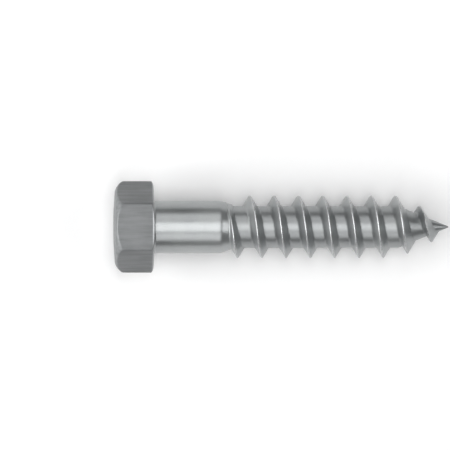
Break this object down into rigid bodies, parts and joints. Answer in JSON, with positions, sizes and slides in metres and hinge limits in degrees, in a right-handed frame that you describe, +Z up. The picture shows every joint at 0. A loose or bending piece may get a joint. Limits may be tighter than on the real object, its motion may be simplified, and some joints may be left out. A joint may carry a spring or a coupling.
{
  "type": "coach screw",
  "caption": "Coach screw with a bevelled hexagon head, a plain reduced shank, a coarse right-hand wood thread and a cone point.",
  "frame": {"origin": "on the surface that the screw lies on, under the centre of its bounding box", "axes": "+X along the screw towards its point, +Z up, +Y to the side, through a corner of the head; the screw's own axis hangs 2.1 degrees below +X, because the screw rests on a head flat and on a thread crest"},
  "size_m": [0.0568, 0.0156, 0.0138],
  "materials": {
    "steel": "bright zinc plate, satin, clean and new"
  },
  "bodies": {
    "root": {"coach_screw": "steel"}
  },
  "joints": []
}
